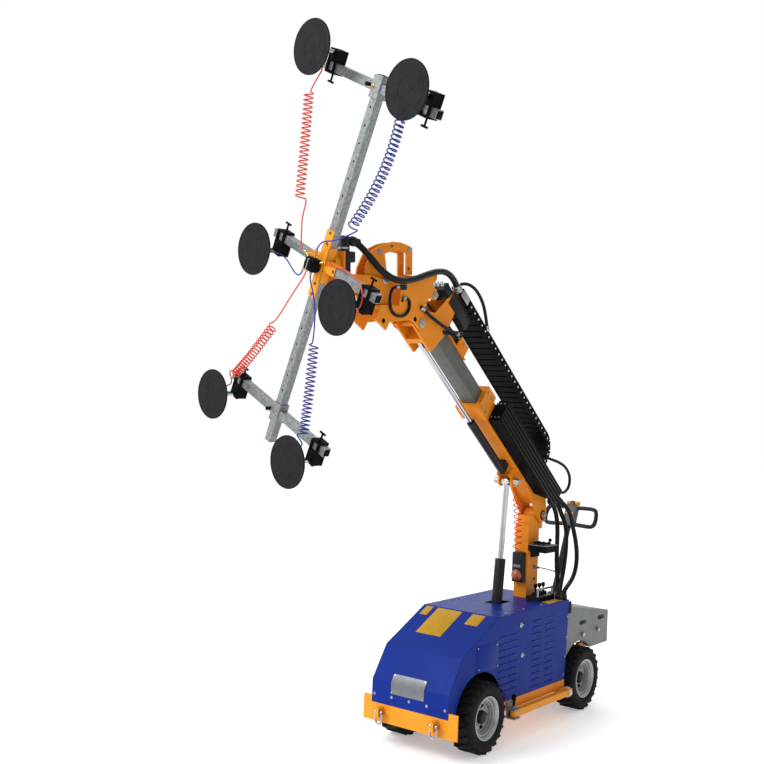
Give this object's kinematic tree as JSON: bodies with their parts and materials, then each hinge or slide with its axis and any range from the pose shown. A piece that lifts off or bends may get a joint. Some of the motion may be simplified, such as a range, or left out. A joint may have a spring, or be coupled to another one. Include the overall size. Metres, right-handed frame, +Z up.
{
  "type": "glass panel lifter",
  "caption": "Wheeled glazing lifter: counterweighted carriage, column and telescopic boom with a tilting, swinging and turning frame of vacuum pads for carrying panes.",
  "frame": {"origin": "on the floor, on the machine's centre plane, under the front axle", "axes": "+Z up, -Y forward towards the glass, +X to the machine's left"},
  "size_m": [1.9407, 3.4519, 4.2259],
  "materials": {
    "tyre": "knobby rubber",
    "wheel_silver": "silver paint",
    "chassis_orange": "satin orange paint",
    "bumper_orange": "satin orange paint",
    "cowl_blue": "gloss blue paint",
    "weight_grey": "satin grey paint",
    "galvanised": "galvanised",
    "chrome_rod": "hard chrome",
    "black_paint": "satin black",
    "black_plastic": "moulded",
    "grey_plastic": "moulded",
    "amber_plastic": "clear amber and black",
    "pad_rubber": "moulded rubber",
    "hose_rubber": "hose",
    "air_hose": "coloured tube",
    "steel_shaft": "machined"
  },
  "bodies": {
    "chassis": {"chassis_frame": "chassis_orange", "front_bumper": "bumper_orange", "wheel_axles": "steel_shaft", "front_cowl": "cowl_blue", "side_panel_left": "cowl_blue", "side_panel_right": "cowl_blue", "counterweight": "weight_grey", "column": "chassis_orange", "battery_pack": "black_plastic", "power_pack": "black_paint", "valve_block": "black_paint", "remote_console": "black_plastic", "beacon": "amber_plastic", "stabiliser_brackets": "galvanised", "mast_hoses": "hose_rubber", "column_hose": "air_hose"},
    "boom": {"boom_tube": "chassis_orange", "boom_cover": "black_plastic", "extension_barrel": "black_paint", "energy_chain": "black_plastic"},
    "lift_cylinder": {"lift_barrel": "black_paint"},
    "lift_ram": {"lift_rod": "chrome_rod"},
    "telescope": {"inner_tube": "galvanised", "extension_rod": "chrome_rod", "boom_head": "chassis_orange"},
    "tilt_cylinder": {"tilt_barrel": "black_paint"},
    "tilt_ram": {"tilt_rod": "chrome_rod"},
    "wrist": {"tilt_yoke": "chassis_orange", "wrist_hoses": "hose_rubber"},
    "swing": {"swing_bracket": "chassis_orange", "rotator_motor": "black_paint"},
    "pad_frame": {"hub_bracket": "bumper_orange", "main_beam": "galvanised", "cross_arms": "galvanised", "vacuum_block": "black_plastic", "vacuum_hoses": "air_hose"},
    "tiller": {"tiller_arm": "black_paint", "tiller_head": "grey_plastic"},
    "thumbwheels": {"tiller_thumbwheels": "amber_plastic"},
    "stabiliser_left": {"stabiliser_arm_left": "chassis_orange"},
    "stabiliser_right": {"stabiliser_arm_right": "chassis_orange"},
    "shackle_left": {"tow_shackle_left": "galvanised"},
    "shackle_right": {"tow_shackle_right": "galvanised"},
    "lever_1": {"valve_lever_1": "black_plastic"},
    "lever_2": {"valve_lever_2": "black_plastic"},
    "lever_3": {"valve_lever_3": "black_plastic"},
    "wheel_front_left": {"tyre_front_left": "tyre", "rim_front_left": "wheel_silver"},
    "wheel_front_right": {"tyre_front_right": "tyre", "rim_front_right": "wheel_silver"},
    "wheel_rear_left": {"tyre_rear_left": "tyre", "rim_rear_left": "wheel_silver"},
    "wheel_rear_right": {"tyre_rear_right": "tyre", "rim_rear_right": "wheel_silver"},
    "pad_upper_left": {"suction_pad_upper_left": "pad_rubber"},
    "pad_upper_right": {"suction_pad_upper_right": "pad_rubber"},
    "pad_middle_left": {"suction_pad_middle_left": "pad_rubber"},
    "pad_middle_right": {"suction_pad_middle_right": "pad_rubber"},
    "pad_lower_left": {"suction_pad_lower_left": "pad_rubber"},
    "pad_lower_right": {"suction_pad_lower_right": "pad_rubber"}
  },
  "joints": [
    {"name": "wheel_spin_front_left", "type": "hinge", "parent": "chassis", "child": "wheel_front_left", "pos_m": [0.283, 0, 0.225], "axis": [1, 0, 0], "continuous": true},
    {"name": "wheel_spin_front_right", "type": "hinge", "parent": "chassis", "child": "wheel_front_right", "pos_m": [-0.283, 0, 0.225], "axis": [1, 0, 0], "continuous": true},
    {"name": "wheel_spin_rear_left", "type": "hinge", "parent": "chassis", "child": "wheel_rear_left", "pos_m": [0.255, 1.367, 0.225], "axis": [1, 0, 0], "continuous": true},
    {"name": "wheel_spin_rear_right", "type": "hinge", "parent": "chassis", "child": "wheel_rear_right", "pos_m": [-0.255, 1.367, 0.225], "axis": [1, 0, 0], "continuous": true},
    {"name": "stabiliser_swing_left", "type": "hinge", "parent": "chassis", "child": "stabiliser_left", "pos_m": [0.332, 0.36, 0.18], "axis": [0, 0, -1], "range_deg": [0, 100]},
    {"name": "shackle_swing_left", "type": "hinge", "parent": "chassis", "child": "shackle_left", "pos_m": [0.21, -0.377, 0.225], "axis": [-1, 0, 0], "range_deg": [-10, 100]},
    {"name": "stabiliser_swing_right", "type": "hinge", "parent": "chassis", "child": "stabiliser_right", "pos_m": [-0.332, 0.36, 0.18], "axis": [0, 0, 1], "range_deg": [0, 100]},
    {"name": "shackle_swing_right", "type": "hinge", "parent": "chassis", "child": "shackle_right", "pos_m": [-0.21, -0.377, 0.225], "axis": [-1, 0, 0], "range_deg": [-10, 100]},
    {"name": "lever_tilt_1", "type": "hinge", "parent": "chassis", "child": "lever_1", "pos_m": [0.1455, 0.92, 0.8662], "axis": [0, 1, 0], "range_deg": [-12, 12], "stiffness_Nm_per_rad": 1.2},
    {"name": "lever_tilt_2", "type": "hinge", "parent": "chassis", "child": "lever_2", "pos_m": [0.1455, 0.975, 0.8662], "axis": [0, 1, 0], "range_deg": [-12, 12], "stiffness_Nm_per_rad": 1.2},
    {"name": "lever_tilt_3", "type": "hinge", "parent": "chassis", "child": "lever_3", "pos_m": [0.1455, 1.03, 0.8662], "axis": [0, 1, 0], "range_deg": [-12, 12], "stiffness_Nm_per_rad": 1.2},
    {"name": "tiller_tilt", "type": "hinge", "parent": "chassis", "child": "tiller", "pos_m": [0, 1.45, 0.77], "axis": [-1, 0, 0], "range_deg": [-15, 45]},
    {"name": "thumbwheel_turn", "type": "hinge", "parent": "tiller", "child": "thumbwheels", "pos_m": [0, 1.72376, 1.44759], "axis": [1, 0, 0], "range_deg": [-45, 45], "stiffness_Nm_per_rad": 0.4},
    {"name": "boom_lift", "type": "hinge", "parent": "chassis", "child": "boom", "pos_m": [0, 1.11, 1.4], "axis": [-1, 0, 0], "range_deg": [-30, 20], "deforming": ["mast_hoses", "column_hose"]},
    {"name": "lift_cylinder_swing", "type": "hinge", "parent": "chassis", "child": "lift_cylinder", "pos_m": [0, 0.605, 0.4], "axis": [-1, 0, 0], "range_deg": [-4.5, 3]},
    {"name": "lift_ram_slide", "type": "slide", "parent": "lift_cylinder", "child": "lift_ram", "axis": [0, 0.0931, 0.9957], "range_m": [-0.22, 0.15]},
    {"name": "telescope_slide", "type": "slide", "parent": "boom", "child": "telescope", "axis": [0, -0.7826, 0.6225], "range_m": [-0.3, 0.03], "deforming": ["energy_chain", "wrist_hoses"]},
    {"name": "wrist_tilt", "type": "hinge", "parent": "telescope", "child": "wrist", "pos_m": [0, -0.49033, 2.66274], "axis": [1, 0, 0], "range_deg": [-15, 45], "deforming": ["wrist_hoses", "energy_chain"]},
    {"name": "tilt_cylinder_swing", "type": "hinge", "parent": "telescope", "child": "tilt_cylinder", "pos_m": [0, 0.04165, 2.56286], "axis": [1, 0, 0], "range_deg": [-2, 6]},
    {"name": "tilt_ram_slide", "type": "slide", "parent": "tilt_cylinder", "child": "tilt_ram", "axis": [0, -0.8273, 0.5618], "range_m": [-0.06, 0.165]},
    {"name": "wrist_swing", "type": "hinge", "parent": "wrist", "child": "swing", "pos_m": [0, -0.80488, 2.64587], "axis": [0, -0.0536, 0.9986], "range_deg": [-30, 45], "deforming": ["wrist_hoses"]},
    {"name": "frame_turn", "type": "hinge", "parent": "swing", "child": "pad_frame", "pos_m": [-0.06318, -1.22919, 2.93656], "axis": [-0.153, -0.9868, -0.0529], "continuous": true, "deforming": ["wrist_hoses"]},
    {"name": "pad_slide_upper_left", "type": "slide", "parent": "pad_frame", "child": "pad_upper_left", "axis": [0.8882, -0.1138, -0.4451], "range_m": [-0.22, 0.03], "deforming": ["vacuum_hoses"]},
    {"name": "pad_slide_upper_right", "type": "slide", "parent": "pad_frame", "child": "pad_upper_right", "axis": [-0.8882, 0.1138, 0.4451], "range_m": [-0.22, 0.03], "deforming": ["vacuum_hoses"]},
    {"name": "pad_slide_middle_left", "type": "slide", "parent": "pad_frame", "child": "pad_middle_left", "axis": [0.8882, -0.1138, -0.4451], "range_m": [-0.22, 0.03], "deforming": ["vacuum_hoses"]},
    {"name": "pad_slide_middle_right", "type": "slide", "parent": "pad_frame", "child": "pad_middle_right", "axis": [-0.8882, 0.1138, 0.4451], "range_m": [-0.22, 0.03], "deforming": ["vacuum_hoses"]},
    {"name": "pad_slide_lower_left", "type": "slide", "parent": "pad_frame", "child": "pad_lower_left", "axis": [0.8882, -0.1138, -0.4451], "range_m": [-0.22, 0.03], "deforming": ["vacuum_hoses"]},
    {"name": "pad_slide_lower_right", "type": "slide", "parent": "pad_frame", "child": "pad_lower_right", "axis": [-0.8882, 0.1138, 0.4451], "range_m": [-0.22, 0.03], "deforming": ["vacuum_hoses"]}
  ],
  "couplings": [
    {"joint": "lift_cylinder_swing", "follows": "boom_lift", "ratio": 0.14},
    {"joint": "lift_ram_slide", "follows": "boom_lift", "m_per_rad": 0.41},
    {"joint": "tilt_cylinder_swing", "follows": "wrist_tilt", "ratio": 0.118},
    {"joint": "tilt_ram_slide", "follows": "wrist_tilt", "m_per_rad": 0.203}
  ]
}
